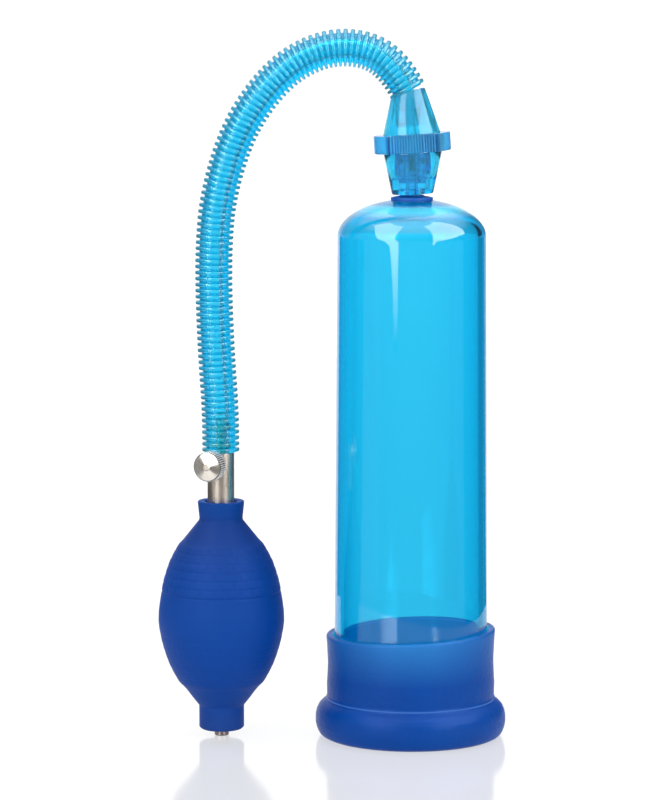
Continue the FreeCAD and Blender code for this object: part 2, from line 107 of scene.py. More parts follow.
def lathe(profile, segments=96):
    """Vertices and faces of a closed (r, z) profile turned about Z. Points on the axis become poles."""
    verts, rings, faces = [], [], []
    for r, z in profile:
        if r == 0:
            rings.append([len(verts)])
            verts.append((0, 0, z))
        else:
            start = len(verts)
            rings.append(list(range(start, start + segments)))
            for k in range(segments):
                a = 2 * math.pi * k / segments
                verts.append((r * math.cos(a), r * math.sin(a), z))
    for low, high in zip(rings, rings[1:] + rings[:1]):
        if len(low) == 1 and len(high) == 1:
            continue
        for k in range(segments):
            n = (k + 1) % segments
            if len(low) == 1:
                faces.append((low[0], high[n], high[k]))
            elif len(high) == 1:
                faces.append((low[k], low[n], high[0]))
            else:
                faces.append((low[k], low[n], high[n], high[k]))
    return np.array(verts), faces


def skin(rings):
    """Vertices and faces joining equal rings in order, and the last to the first."""
    rings = np.asarray(rings)
    count, around = rings.shape[:2]
    verts = rings.reshape(-1, 3)
    faces = []
    for i in range(count):
        a, b = i * around, ((i + 1) % count) * around
        for k in range(around):
            n = (k + 1) % around
            faces.append((a + k, a + n, b + n, b + k))
    return verts, faces


def merge(*parts):
    """One vertex and face list from several."""
    verts, faces, shift = [], [], 0
    for v, f in parts:
        verts.append(np.asarray(v, float))
        faces += [tuple(i + shift for i in face) for face in f]
        shift += len(v)
    return np.concatenate(verts), faces


def leaned(verts, centre_x, centre_z, degrees):
    """Points tipped about their own origin towards -X, then carried to a centre in the XZ plane."""
    a = math.radians(degrees)
    v = np.asarray(verts, float)
    x = v[:, 0] * math.cos(a) - v[:, 2] * math.sin(a) + centre_x
    z = v[:, 0] * math.sin(a) + v[:, 2] * math.cos(a) + centre_z
    return np.stack([x, v[:, 1], z], 1)


def smooth_step(share):
    """A share held between 0 and 1, with its start and end eased."""
    t = np.clip(share, 0, 1)
    return t * t * (3 - 2 * t)


# ---- Material helpers -----------------------------------------------------------------------

class Graph:
    """Short ways to make and link the nodes of a tree."""

    def __init__(self, tree):
        self.tree = tree
        tree.nodes.clear()

    def add(self, kind, **settings):
        """A new node with its own settings."""
        node = self.tree.nodes.new("ShaderNode" + kind)
        for key, value in settings.items():
            setattr(node, key, value)
        return node

    def link(self, source, target):
        """Join an output to an input."""
        self.tree.links.new(source, target)

    def split(self, vector):
        """The X, Y and Z outputs of a vector."""
        node = self.add("SeparateXYZ")
        self.link(vector, node.inputs[0])
        return node.outputs

    def step(self, operation, first, second=0.0):
        """One step of arithmetic on a socket and a number or another socket."""
        node = self.add("Math", operation=operation)
        self.link(first, node.inputs[0])
        if isinstance(second, float):
            node.inputs[1].default_value = second
        else:
            self.link(second, node.inputs[1])
        return node.outputs[0]

    def span(self, source, low, high, to_low=0.0, to_high=1.0, kind="LINEAR"):
        """A value's way from low to high, carried to another range and held at its ends."""
        node = self.add("MapRange", interpolation_type=kind)
        for key, value in (("From Min", low), ("From Max", high), ("To Min", to_low), ("To Max", to_high)):
            node.inputs[key].default_value = value
        self.link(source, node.inputs["Value"])
        return node.outputs["Result"]


class Nodes(Graph):
    """A new material with a Principled shader, and short ways to build what feeds it."""

    def __init__(self, name):
        self.material = bpy.data.materials.new(name)
        self.material.use_nodes = True
        super().__init__(self.material.node_tree)
        self.out = self.add("OutputMaterial")
        self.shader = self.add("BsdfPrincipled")
        self.link(self.shader.outputs[0], self.out.inputs["Surface"])
        self.place = self.add("TexCoord").outputs["Object"]

    def set(self, **values):
        """Set the shader's own inputs to constants."""
        for key, value in values.items():
            self.shader.inputs[key.replace("_", " ")].default_value = value

    def drive(self, name, source):
        """Link a source to one of the shader's inputs."""
        self.link(source, self.shader.inputs[name])

    def noise(self, scale, detail=3, rough=0.5, stretch=(1, 1, 1)):
        """Soft random value over the piece, about 0.3 to 0.7."""
        place = self.add("Mapping")
        place.inputs["Scale"].default_value = stretch
        self.link(self.place, place.inputs["Vector"])
        node = self.add("TexNoise")
        node.inputs["Scale"].default_value = scale
        node.inputs["Detail"].default_value = detail
        node.inputs["Roughness"].default_value = rough
        self.link(place.outputs[0], node.inputs["Vector"])
        return node.outputs["Fac"]

    def vector_step(self, operation, first, second=(0, 0, 0)):
        """One step of vector arithmetic on a socket and a constant vector."""
        node = self.add("VectorMath", operation=operation)
        self.link(first, node.inputs[0])
        node.inputs[1].default_value = second
        return node.outputs["Value" if operation == "LENGTH" else "Vector"]

    def height(self):
        """Height above the floor, in metres."""
        return self.split(self.place)["Z"]

    def reach(self):
        """Distance from the cylinder's axis, in metres."""
        return self.vector_step("LENGTH", self.vector_step("MULTIPLY", self.place, (1, 1, 0)))

    def away_from(self, source, middle):
        """Distance of a value from a middle one."""
        return self.step("ABSOLUTE", self.step("SUBTRACT", source, middle))

    def blend(self, factor, first, second):
        """Mix of two colours, each a constant or a socket."""
        node = self.add("MixRGB")
        for source, target in ((factor, 0), (first, 1), (second, 2)):
            if isinstance(source, tuple):
                node.inputs[target].default_value = (*source, 1)
            else:
                self.link(source, node.inputs[target])
        return node.outputs[0]

    def ramp(self, source, stops):
        """Colour that follows a value from 0 to 1 through (place, colour) stops."""
        node = self.add("ValToRGB")
        while len(node.color_ramp.elements) < len(stops):
            node.color_ramp.elements.new(0.5)
        for element, (where, colour) in zip(node.color_ramp.elements, stops):
            element.position = where
            element.color = (*colour, 1)
        self.link(source, node.inputs["Fac"])
        return node.outputs["Color"]

    def bump(self, source, strength, distance):
        """Fine relief that follows a value, at most a distance in metres high."""
        node = self.add("Bump")
        node.inputs["Strength"].default_value = strength
        node.inputs["Distance"].default_value = distance
        self.link(source, node.inputs["Height"])
        self.drive("Normal", node.outputs[0])


def shade(red, green, blue):
    """Linear colour from display values of 0 to 255."""
    return tuple((c / 12.92 if c <= 0.04045 else ((c + 0.055) / 1.055) ** 2.4)
                 for c in (red / 255, green / 255, blue / 255))


def clear_plastic(name, clarity, density, roughness, waves, depth, ior=1.49, body=(1, 1, 1), clear=1.0):
    """Clear tinted plastic: the colour deepens with the length of the light's way through it."""
    n = Nodes(name)
    n.set(Transmission_Weight=clear, IOR=ior)
    n.shader.inputs["Base Color"].default_value = (*body, 1)
    n.drive("Roughness", n.span(n.noise(60, 2), 0.3, 0.7, roughness * 0.7, roughness * 1.4))
    absorb = n.add("VolumeAbsorption")
    absorb.inputs["Color"].default_value = (*clarity, 1)
    absorb.inputs["Density"].default_value = density
    n.link(absorb.outputs[0], n.out.inputs["Volume"])
    n.bump(n.noise(waves, 1), 0.05, depth)
    return n


# ---- Materials ------------------------------------------------------------------------------

def make_cuff_plastic():
    """Frosted plastic of the coupling's upper cone, with weak reflections."""
    n = clear_plastic("cuff_plastic", (0.22, 0.895, 0.986), 400, 0.12, 90, 0.0002,
                      ior=1.40, body=(0.12, 0.82, 1.0), clear=0.84)
    n.set(Specular_IOR_Level=0.25)
    return n


def make_hose_vinyl():
    """Clear vinyl, with a painted highlight along the ribs' crests, where it is paler and a little milky, and
    painted shade between them.
    """
    n = clear_plastic("hose_vinyl", (0.11, 0.930, 0.978), 800, 0.02, 60, 0.00002, ior=1.46, clear=0.94)
    # Painted light: pointiness makes the crests paler and less clear as painted highlights, and the hollows
    # between the ribs darker as painted shade.
    crest = n.add("NewGeometry").outputs["Pointiness"]
    n.drive("Base Color", n.ramp(crest, [(0.42, (0.04, 0.70, 0.92)), (0.50, (0.10, 0.93, 1.0)),
                                         (0.56, (0.18, 0.98, 1.0))]))
    n.drive("Transmission Weight", n.span(crest, 0.50, 0.55, 0.97, 0.76))
    return n


def make_cylinder_plastic():
    """Clear all the way up the wall; round the dome below the gasket it is cloudier, with a painted glow."""
    n = clear_plastic("cylinder_plastic", (0.10, 0.840, 0.942), 800, 0.012, 9, 0.0006)
    # Painted light: a band round the dome below the gasket is cloudier, paler and glows by emission.
    dome_glow_low, dome_glow_high = 0.1975, 0.2045
    none, full = (0, 0, 0), (1, 1, 1)
    painted_dome_glow = n.ramp(n.span(n.height(), dome_glow_low, dome_glow_high),
                  [(0.3, none), (0.65, full), (0.85, full), (0.95, none)])
    n.drive("Transmission Weight", n.span(painted_dome_glow, 0.0, 1.0, 1.0, 0.66))
    n.drive("Base Color", n.blend(painted_dome_glow, (1.0, 1.0, 1.0), (0.22, 0.98, 1.0)))
    n.drive("Emission Color", n.blend(painted_dome_glow, (0.0, 0.0, 0.0), (0.0, 0.09, 0.14)))
    n.set(Emission_Strength=1.0)
    return n


def make_ring_plastic():
    """Ring plastic, with painted shade at the bottom of the flutes."""
    n = clear_plastic("ring_plastic", (0.25, 0.85, 0.975), 400, 0.08, 120, 0.0002, ior=1.45, clear=0.72)
    # Painted shade: the colour darkens towards the bottom of the flutes, away from the flats.
    depth = n.span(n.away_from(n.split(n.place)["Y"], 0.0), 0.0104, 0.0117)
    crest, flute = (0.20, 0.78, 1.0), (0.07, 0.40, 0.74)
    n.drive("Base Color", n.ramp(depth, [(0.0, crest), (0.25, flute), (0.55, flute), (0.85, crest)]))
    return n


def soft_rubber(name, dark, light, roughness, grain, depth, gloss=0.5):
    """Matt rubber, mottled between two near colours, and its tone before other colours cover it."""
    n = Nodes(name)
    tone = n.ramp(n.noise(35, 4, 0.6), [(0.3, dark), (0.7, light)])
    n.drive("Base Color", tone)
    fine = n.noise(grain, 5, 0.65)
    n.drive("Roughness", n.span(fine, 0.3, 0.7, roughness - 0.06, roughness + 0.08))
    n.set(IOR=1.5, Specular_IOR_Level=gloss)
    n.bump(fine, 0.4, depth)
    return n, tone


def make_sleeve_rubber():
    """Elastomer painted to look translucent: deep blue low down; painted light pales it towards the thin rim,
    at front and back and inside, where it glows, with a painted highlight along the crease.
    """
    n, tone = soft_rubber("sleeve_elastomer", shade(0, 60, 142), shade(0, 68, 152), 0.36, 700, 0.0001, 0.10)
    height = n.height()
    # Painted light: the wall is paler at front and back than at the sides.
    middle = n.span(n.away_from(n.split(n.place)["X"], 0.0), 0.008, 0.030, 0.0, 0.7)
    painted_front_back_light = n.blend(middle, shade(38, 116, 190), shade(14, 78, 160))
    # Painted light: the wall turns from its mottled tone to the paler painted colour towards the thin rim.
    rim = n.blend(n.span(height, 0.024, 0.040), tone, painted_front_back_light)
    # Painted highlight: a thin paler line along the crease at 15 mm.
    painted_crease_highlight = n.span(n.away_from(height, 0.0150), 0.0004, 0.0001)
    wall = n.blend(painted_crease_highlight, rim, shade(60, 112, 190))
    # Painted light: the inner bore is pale and glows by emission.
    inside = n.span(n.reach(), 0.0301, 0.0297)
    n.drive("Base Color", n.blend(inside, wall, shade(120, 205, 250)))
    n.drive("Emission Color", n.blend(inside, (0.0, 0.0, 0.0), (0.0, 0.22, 0.31)))
    n.set(Emission_Strength=1.0)
    return n


def make_bulb_rubber():
    """Bulb rubber with painted shade: darker on the shoulders and at the foot than round its middle."""
    n, tone = soft_rubber("bulb_rubber", shade(0, 58, 142), shade(0, 64, 150), 0.5, 900, 0.00008, 0.10)
    foot, top = 0.0, 0.1
    # Painted shade: darker towards the foot and the shoulders, paler round the middle and at the neck.
    painted_shade_by_height = n.ramp(n.span(n.height(), foot, top), [
        (0.04, shade(26, 60, 128)), (0.20, shade(4, 60, 142)), (0.45, shade(0, 64, 150)),
        (0.64, shade(0, 58, 138)), (0.78, shade(16, 48, 114)), (0.83, shade(14, 50, 118)),
        (0.86, shade(4, 62, 140)),
    ])
    n.drive("Base Color", n.blend(n.span(n.noise(12, 2), 0.3, 0.7, 0.55, 0.85), tone, painted_shade_by_height))
    return n


def turned_metal(name, colour, roughness, lines, stretch=(1, 1, 1), metallic=1.0):
    """Metal with fine tool marks, which change its tone, its roughness and its relief together."""
    n = Nodes(name)
    n.set(Metallic=metallic)
    marks = n.noise(lines, 3, 0.6, stretch)
    dull = tuple(c * 0.88 for c in colour)
    n.drive("Base Color", n.ramp(marks, [(0.3, dull), (0.7, colour)]))
    n.drive("Roughness", n.span(marks, 0.3, 0.7, roughness * 0.8, roughness * 1.3))
    n.bump(marks, 0.08, 0.00002)
    return n


def make_knob_metal():
    """Bright turned metal with painted light on the knurl: painted shade in the grooves and painted
    highlights on the teeth, found by their distance from the screw's axis.
    """
    n = turned_metal("knob_nickel", shade(206, 200, 192), 0.14, 700)
    face_edge, rim_foot, rim_top = 0.00515, 0.0052, 0.0056
    a = math.radians(SCREW_TURN)
    arm = n.vector_step("SUBTRACT", n.place, (BULB_X * MM, 0, SCREW_Z * MM))
    reach = n.vector_step("LENGTH", n.vector_step("CROSS_PRODUCT", arm, (-math.sin(a), -math.cos(a), 0)))
    bright = n.shader.inputs["Base Color"].links[0].from_socket
    # Painted light: near-black grooves as painted shade and near-white tooth tops as painted highlights; the
    # knurl is made less metallic so these show.
    painted_knurl_light = n.ramp(n.span(reach, rim_foot, rim_top), [
        (0.0, (0.66, 0.62, 0.58)), (0.08, (0.02, 0.02, 0.02)), (0.70, (0.03, 0.03, 0.03)),
        (0.85, (0.95, 0.95, 0.95)),
    ])
    n.drive("Base Color", n.blend(n.span(reach, face_edge, rim_foot), bright, painted_knurl_light))
    n.drive("Metallic", n.span(reach, face_edge, rim_foot, 1.0, 0.25))
    return n


socket_plastic = clear_plastic("socket_plastic", (0.25, 0.882, 0.994), 400, 0.04, 90, 0.0002,
                               ior=1.42, body=(0.24, 0.84, 1.0), clear=0.92)
cuff_plastic = make_cuff_plastic()
insert_plastic = clear_plastic("insert_plastic", (0.50, 0.90, 0.96), 300, 0.05, 90, 0.0002, ior=1.45)
bush_plastic = clear_plastic("bush_rubber", (0.22, 0.80, 0.92), 420, 0.22, 300, 0.0002, ior=1.43)
hose_vinyl = make_hose_vinyl()
cylinder_plastic = make_cylinder_plastic()
ring_plastic = make_ring_plastic()
gasket_rubber, _ = soft_rubber("gasket_rubber", shade(8, 84, 172), shade(14, 90, 178), 0.4, 900, 0.00004, 0.3)
packing_rubber, _ = soft_rubber("packing_rubber", (0.012, 0.012, 0.014), (0.02, 0.02, 0.022), 0.45, 900,
                                0.00003)
sleeve_rubber = make_sleeve_rubber()
bulb_rubber = make_bulb_rubber()
nickel = turned_metal("nickel", shade(204, 193, 181), 0.27, 500, (1.0, 1.0, 0.12), 0.97)
dark_nickel = turned_metal("dark_nickel", shade(128, 118, 116), 0.26, 500)
knob_nickel = make_knob_metal()
ball_steel = turned_metal("ball_steel", shade(205, 205, 208), 0.10, 500)


# ---- Cylinder, gasket and sleeve ------------------------------------------------------------

box_low, box_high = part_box("cylinder")
FOOT_Z, FOOT_R, NIPPLE_Z = box_low.z / MM, box_high.x / MM, box_high.z / MM
DOME_Z, DOME_RISE, TOP_R, WALL = 191.8, 14.3, 28.20, 2.9
SEAT_Z, SEAT_R, NIPPLE_R, AIR_R = 205.4, 7.9, 2.3, 1.1
GASKET_R, CROWN_R, GASKET_EDGE_Z, GASKET_TOP_Z = 8.0, 4.65, 206.6, 207.45


def dome(radius, rise, start, stop, steps):
    """Points of the dome's ellipse, between two angles from the wall."""
    return [(radius * math.cos(a), DOME_Z + rise * math.sin(a)) for a in np.linspace(start, stop, steps)]


def drafted_wall(inset, first, last):
    """Points up the tapering wall at an inset from its outside, between two shares of its height."""
    return [(FOOT_R - inset + (TOP_R - FOOT_R) * t, FOOT_Z + (DOME_Z - FOOT_Z) * t)
            for t in np.linspace(first, last, 14)]


def make_cylinder():
    """Drafted tube with a rounded foot, an elliptical dome, a seat for the gasket and the nipple."""
    edge = math.acos(SEAT_R / TOP_R)
    inner_stop = math.acos(AIR_R / (TOP_R - WALL))
    outside = dome(TOP_R, DOME_RISE, 0, edge, 40)
    inside = dome(TOP_R - WALL, DOME_RISE - WALL, 0, inner_stop, 48)
    wall_out = drafted_wall(0.0, 0.02, 0.99)
    wall_in = drafted_wall(WALL, 0.03, 0.99)[::-1]
    foot = outline([(FOOT_R - WALL, FOOT_Z, 0.3), (FOOT_R, FOOT_Z, 0.9), wall_out[0]])[:-1]
    stem = outline([outside[-1], (SEAT_R, SEAT_Z, 0.2), (NIPPLE_R, SEAT_Z, 0.3), (NIPPLE_R, NIPPLE_Z, 0.5),
                    (AIR_R, NIPPLE_Z, 0.2), inside[-1]])[1:-1]
    profile = [*foot, *wall_out, *outside, *stem, *inside[::-1], *wall_in]
    piece("cylinder_shell", *lathe(profile, 192), cylinder_plastic.material, "cylinder",
          "clear_cylinder_plastic", ["cylinder"], 40)


def make_gasket():
    """Rubber gasket round the nipple's root, let slightly into the dome and the nipple."""
    overlap = 0.06
    rim, under = NIPPLE_R - overlap, SEAT_Z - overlap
    profile = outline([(rim, under), (GASKET_R, under, 0.2), (GASKET_R, GASKET_EDGE_Z, 0.25),
                       (CROWN_R, GASKET_TOP_Z - 0.25, 0.3), (CROWN_R, GASKET_TOP_Z, 0.1),
                       (rim, GASKET_TOP_Z)])
    piece("nipple_gasket_disc", *lathe(profile), gasket_rubber.material, "cylinder", "gasket_rubber",
          ["nipple_gasket"])


make_cylinder()
make_gasket()

SLEEVE_TILT = math.tan(math.radians(2.35))
SEAT_BORE, MOUTH_R, LIP_Z, RIM_Z = 29.5, 19.0, 5.4, 40.7
SLEEVE_SIDE = [
    (31.2, 0.0), (32.9, 0.25), (34.3, 0.9), (35.0, 1.6), (35.5, 2.5), (36.05, 4.0), (36.4, 5.6),
    (36.42, 7.2), (36.3, 8.8), (35.95, 10.3), (35.2, 11.9), (34.2, 13.0), (33.3, 13.7), (32.5, 14.3),
    (32.2, 14.7), (32.35, 15.0), (32.3, 15.3), (32.0, 15.7), (32.0, 16.5), (32.05, 19.0), (32.06, 21.0),
    (31.85, 25.0), (31.7, 29.0), (31.85, 33.0), (32.05, 37.0), (32.15, 38.0),
]


def resampled(points, step):
    """The same open line, with points at about an even step."""
    points = np.array(points, float)
    at = np.concatenate([[0], np.cumsum(np.linalg.norm(np.diff(points, axis=0), axis=1))])
    spots = np.linspace(0, at[-1], int(at[-1] / step))
    return np.stack([np.interp(spots, at, points[:, k]) for k in (0, 1)], 1)


def grain(rows, around, height, seed):
    """Soft random heights on a closed band of rows, each smoothed with its neighbours."""
    field = np.random.RandomState(seed).normal(size=(rows, around))
    for axis in (0, 1, 0, 1):
        field = (np.roll(field, 1, axis) + 2 * field + np.roll(field, -1, axis)) / 4
    return height * field / field.std()


def make_sleeve():
    """Sleeve with a thick ring and a rim that sits a little askew, as the soft material does."""
    outside = resampled(SLEEVE_SIDE, 0.42)
    rim = outline([(32.2, 38.0), (32.35, RIM_Z, 1.1), (29.6, RIM_Z, 0.9), (29.55, 38.0)])[1:]
    bore = [(SEAT_BORE, z) for z in np.linspace(36, 9, 12)]
    floor = outline([(SEAT_BORE, 9.0), (SEAT_BORE, 7.45, 0.4), (26.4, 7.4, 0.5), (MOUTH_R, LIP_Z, 0.7),
                     (MOUTH_R, 1.8, 0.6), (20.8, 0.0, 0.8), (31.2, 0.0)])[1:-1]
    around = 400
    verts, faces = lathe(np.array([*outside, *rim, *bore, *floor]), around)
    count = len(outside) * around
    band = verts[:count, :2].reshape(len(outside), around, 2)
    rough = grain(len(outside), around, height=0.018, seed=7)
    rough[:4] = 0
    rough[-1] = 0
    band *= (1 + rough / np.linalg.norm(band, axis=2))[:, :, None]
    tilt_from, tilt_over = 15, 24
    share = smooth_step((verts[:, 2] - tilt_from) / tilt_over)
    verts[:, 2] += verts[:, 0] * SLEEVE_TILT * share
    piece("sleeve_body", verts, faces, sleeve_rubber.material, "sleeve", "soft_sleeve_elastomer",
          ["sealing_sleeve"], 50)


make_sleeve()


# ---- Hose -----------------------------------------------------------------------------------

HOSE_ROUTE = [
    (-0.0016, 0, 0.2465), (-0.005, 0, 0.253), (-0.0135, 0, 0.261), (-0.0255, 0, 0.2635),
    (-0.0375, 0, 0.261), (-0.049, 0, 0.254), (-0.0605, 0, 0.2405), (-0.068, 0, 0.2255),
    (-0.0735, 0, 0.2055), (-0.075, 0, 0.187), (-0.0749, 0, 0.166), (-0.0739, 0, 0.144),
    (-0.0725, 0, 0.124), (-0.0725, 0, 0.1095),
]
HOSE_R, CORE_R, BORE_R, BORE_WAVE, PITCH, PLAIN_END = 7.15, 5.6, 2.5, 0.22, 2.23, 13.2
# One rib's rising side, as (share of the pitch, radius).
RIB_RISE = [(0.09, CORE_R), (0.14, CORE_R + 0.12), (0.17, CORE_R + 0.45), (0.19, HOSE_R - 0.60),
            (0.215, HOSE_R - 0.32), (0.26, HOSE_R - 0.14), (0.34, HOSE_R - 0.03), (0.43, HOSE_R)]
MOUTH, CONE_FOOT = (-1.6, 246.5), (-0.15, 230.6)
CONE_LEAN = math.degrees(math.atan2(CONE_FOOT[0] - MOUTH[0], MOUTH[1] - CONE_FOOT[1]))


def hose_line():
    """Points, in millimetres, along the route's own smooth spline."""
    data = bpy.data.curves.new("hose_route", "CURVE")
    data.dimensions = "3D"
    spline = data.splines.new("NURBS")
    spline.points.add(len(HOSE_ROUTE) - 1)
    for point, place in zip(spline.points, HOSE_ROUTE):
        point.co = (*place, 1)
    spline.order_u = 3
    spline.use_endpoint_u = True
    spline.resolution_u = 32
    holder = bpy.data.objects.new("hose_route", data)
    mesh = bpy.data.meshes.new_from_object(holder)
    points = [tuple(v.co) for v in mesh.vertices]
    bpy.data.meshes.remove(mesh)
    bpy.data.objects.remove(holder)
    bpy.data.curves.remove(data)
    return np.array(points) / MM


class Path:
    """Places and directions at a distance along a flat line in the XZ plane."""

    def __init__(self, points):
        self.points = points
        self.at = np.concatenate([[0], np.cumsum(np.linalg.norm(np.diff(points, axis=0), axis=1))])
        self.length = self.at[-1]
        self.heading = np.gradient(points, self.at, axis=0)

    def place(self, s):
        """The point and direction at a distance; past an end the line goes straight on."""
        inside = min(max(s, 0), self.length)
        spot = np.array([np.interp(inside, self.at, self.points[:, k]) for k in range(3)])
        along = np.array([np.interp(inside, self.at, self.heading[:, k]) for k in range(3)])
        along /= np.linalg.norm(along)
        return spot + along * (s - inside), along

    def ring(self, s, radius, around=64):
        """Points of a circle square to the line at a distance along it."""
        spot, along = self.place(s)
        side = np.array([along[2], 0, -along[0]])
        angles = np.linspace(0, 2 * math.pi, around, endpoint=False)
        return spot + radius * (np.outer(np.cos(angles), side) + np.outer(np.sin(angles), (0, 1, 0)))


def make_plain_end():
    """The hose's smooth end inside the coupling, along the upper cone's axis."""
    past = 0.6
    profile = outline([(BORE_R, -PLAIN_END), (CORE_R, -PLAIN_END, 0.4), (CORE_R, past, 0.3), (BORE_R, past)])
    verts, faces = lathe(profile)
    return piece("hose_plain_end", leaned(verts, *MOUTH, CONE_LEAN), faces, hose_vinyl.material,
                 "hose_set", "clear_hose_vinyl")


def make_hose():
    """Ribbed hose along its route, with a bore that waves slightly from rib to rib."""
    line = hose_line()
    path = Path(line)
    ribs = int(path.length / PITCH)
    pitch = path.length / ribs
    shape = RIB_RISE + [(1 - t, r) for t, r in RIB_RISE[::-1]]
    rings = [path.ring(0.0, CORE_R)]
    for rib in range(ribs):
        rings += [path.ring((rib + t) * pitch, r) for t, r in shape]
    end = path.length - 0.02
    rings += [path.ring(end, CORE_R), path.ring(end, BORE_R + 0.2)]
    steps = np.linspace(path.length - 0.3, 0, 9 * ribs)
    rings += [path.ring(s, BORE_R + BORE_WAVE * math.cos(2 * math.pi * s / pitch)) for s in steps]
    made = piece("hose_tube", *skin(rings), hose_vinyl.material, "hose_set", "clear_hose_vinyl", ["hose"], 50)
    plain_end = make_plain_end()


make_hose()


# ---- Coupling -------------------------------------------------------------------------------

# Each station is a round section of the coupling: centre x, centre z, lean towards -X.
BASE, RING_LOW = (0.28, 207.95, 2.4), (0.28, 223.75, 3.6)
RING_TOP, MOUTH_SECTION = (*CONE_FOOT, 3.6), (*MOUTH, 13.2)


def tilted_ring(low, high, share, radius, around, lobes=0.0):
    """A circle, or one with eight lobes, at a share of the way between two stations."""
    angles = np.linspace(0, 2 * math.pi, around, endpoint=False)
    reach = radius + lobes * np.cos(8 * angles)
    flat = np.stack([reach * np.cos(angles), reach * np.sin(angles), np.zeros(around)], 1)
    x, z, lean = (a + (b - a) * share for a, b in zip(low, high))
    return leaned(flat, x, z, lean)


def make_socket():
    """Lower shell: a tapered cup with an inner tube for the bush, as (share of the height, radius)."""
    outer_wall = [(0.0, 7.4), (0.0, 7.65), (0.025, 7.95), (0.25, 8.72), (0.5, 9.52), (0.75, 10.33),
                  (0.97, 11.05), (1.0, 11.0)]
    inner_wall = [(1.0, 10.0), (1.0, 9.75), (0.97, 9.45), (0.7, 8.7), (0.4, 7.8), (0.37, 7.5)]
    tube = [(0.37, 7.1), (0.40, 6.9), (0.97, 6.9), (0.99, 6.8), (0.99, 5.6), (0.97, 5.5), (0.16, 5.5)]
    neck = [(0.14, 5.3), (0.14, 3.6), (0.12, 3.4), (0.02, 3.4), (0.0, 3.55)]
    rings = [tilted_ring(BASE, RING_LOW, share, radius, 96)
             for share, radius in outer_wall + inner_wall + tube + neck]
    piece("coupling_lower_cone", *skin(rings), socket_plastic.material, "hose_set", "clear_coupling_plastic",
          ["coupling_socket"], 40)


def make_cuff():
    """Upper shell: a tapered cuff, fluted inside, that closes on the hose's plain end."""
    outside = [(0.0, 10.85), (0.25, 9.76), (0.5, 8.68), (0.75, 7.59), (0.975, 6.6), (1.0, 6.35), (1.0, 5.85)]
    inside = [(0.985, 5.7), (0.8, 6.0), (0.6, 6.75), (0.4, 7.5), (0.2, 8.25), (0.06, 8.8), (0.0, 9.1)]
    around, flute = 160, 0.35
    rings = [tilted_ring(RING_TOP, MOUTH_SECTION, share, radius, around) for share, radius in outside]
    for share, radius in inside:
        lobes = flute * math.sin(math.pi * min(1, 1.25 * (1 - share))) if share > 0.1 else 0
        rings.append(tilted_ring(RING_TOP, MOUTH_SECTION, share, radius, around, lobes))
    piece("coupling_upper_cone", *skin(rings), cuff_plastic.material, "hose_set", "clear_coupling_plastic",
          ["coupling_cuff"], 40)


def make_grip_ring():
    """Ring with two fluted flats."""
    radius, flat, hole, half = 14.6, 11.6, 10.1, 3.43
    pitch, flute_depth, flute_half, last_flute, edge = 1.03, 0.85, 0.26, 10.9, 0.25
    corner = math.acos(flat / radius)
    reach = radius * math.sin(corner) - 0.15
    outer = []
    for side in (-1, 1):
        for x in side * -np.arange(-reach, reach, 0.11):
            phase = abs(((x / pitch) % 1) - 0.5) * 2
            land = min(1, max(0, (phase - flute_half) / flute_half))
            cut = flute_depth * (1 - land) if abs(x) < last_flute else 0
            outer.append((x, side * (flat - cut)))
        for turn in np.linspace(-1, 1, 40)[1:-1] * (math.pi / 2 - corner):
            angle = turn if side < 0 else math.pi + turn
            outer.append((radius * math.cos(angle), radius * math.sin(angle)))
    outer = np.array(outer)
    angles = np.arctan2(outer[:, 1], outer[:, 0])
    inner = hole * np.stack([np.cos(angles), np.sin(angles)], 1)
    shrink = 1 - edge / radius

    def level(points, z):
        return np.concatenate([points, np.full((len(points), 1), z)], 1)

    rings = [level(outer * shrink, -half), level(outer, -half + edge), level(outer, half - edge),
             level(outer * shrink, half), level(inner, half), level(inner, -half)]
    centre = [(a + b) / 2 for a, b in zip(RING_LOW, RING_TOP)]
    verts, faces = skin(rings)
    piece("coupling_fluted_ring", leaned(verts, *centre), faces, ring_plastic.material, "hose_set",
          "clear_coupling_plastic", ["coupling_grip_ring"], 25)


make_socket()
make_cuff()
make_grip_ring()


# ---- Release valve --------------------------------------------------------------------------

VALVE_R, VALVE_LOW, VALVE_TOP = 5.15, 79.5, 109.5
BARB, BARB_R, BARB_ROOT_R, PASSAGE_R = 13.2, 2.9, 1.95, 1.2


def at_bulb(verts):
    """Points built on the Z axis carried to the bulb's axis."""
    return np.asarray(verts, float) + (BULB_X, 0, 0)


def along_screw(verts):
    """Points built on +Z carried to the release screw's axis; z is the distance from the bulb's."""
    a = math.radians(SCREW_TURN)
    v = np.asarray(verts, float)
    out = np.array([-math.sin(a), -math.cos(a), 0])
    side = np.array([math.cos(a), -math.sin(a), 0])
    turned = np.outer(v[:, 2], out) + np.outer(v[:, 0], side) + np.outer(v[:, 1], (0, 0, 1))
    return (BULB_X, 0, SCREW_Z) + turned


def make_valve():
    """Valve tube with a two-step barb in the hose, and the side boss that carries the screw."""
    top, low_step, high_step = VALVE_TOP, VALVE_TOP + 0.2 * BARB, VALVE_TOP + 0.7 * BARB
    tube = lathe(outline([
        (PASSAGE_R, VALVE_LOW), (VALVE_R, VALVE_LOW, 0.2), (VALVE_R, top, 0.25), (BARB_ROOT_R, top, 0.15),
        (BARB_ROOT_R, low_step), (BARB_R, low_step, 0.08), (2.05, top + 0.5 * BARB),
        (BARB_ROOT_R, top + 0.5 * BARB), (BARB_ROOT_R, high_step), (BARB_R, high_step, 0.08),
        (BARB_ROOT_R, top + BARB, 0.1), (PASSAGE_R, top + BARB),
    ]), 128)
    boss = lathe(outline([(0, 3.0), (3.1, 3.0), (3.1, 8.2, 0.3), (2.35, 8.2, 0.1), (2.35, 6.9), (0, 6.9)]))
    verts, faces = merge((at_bulb(tube[0]), tube[1]), (along_screw(boss[0]), boss[1]))
    piece("valve_tube", verts, faces, nickel.material, "hose_set", "nickel_plated_brass", ["valve_body"], 35)


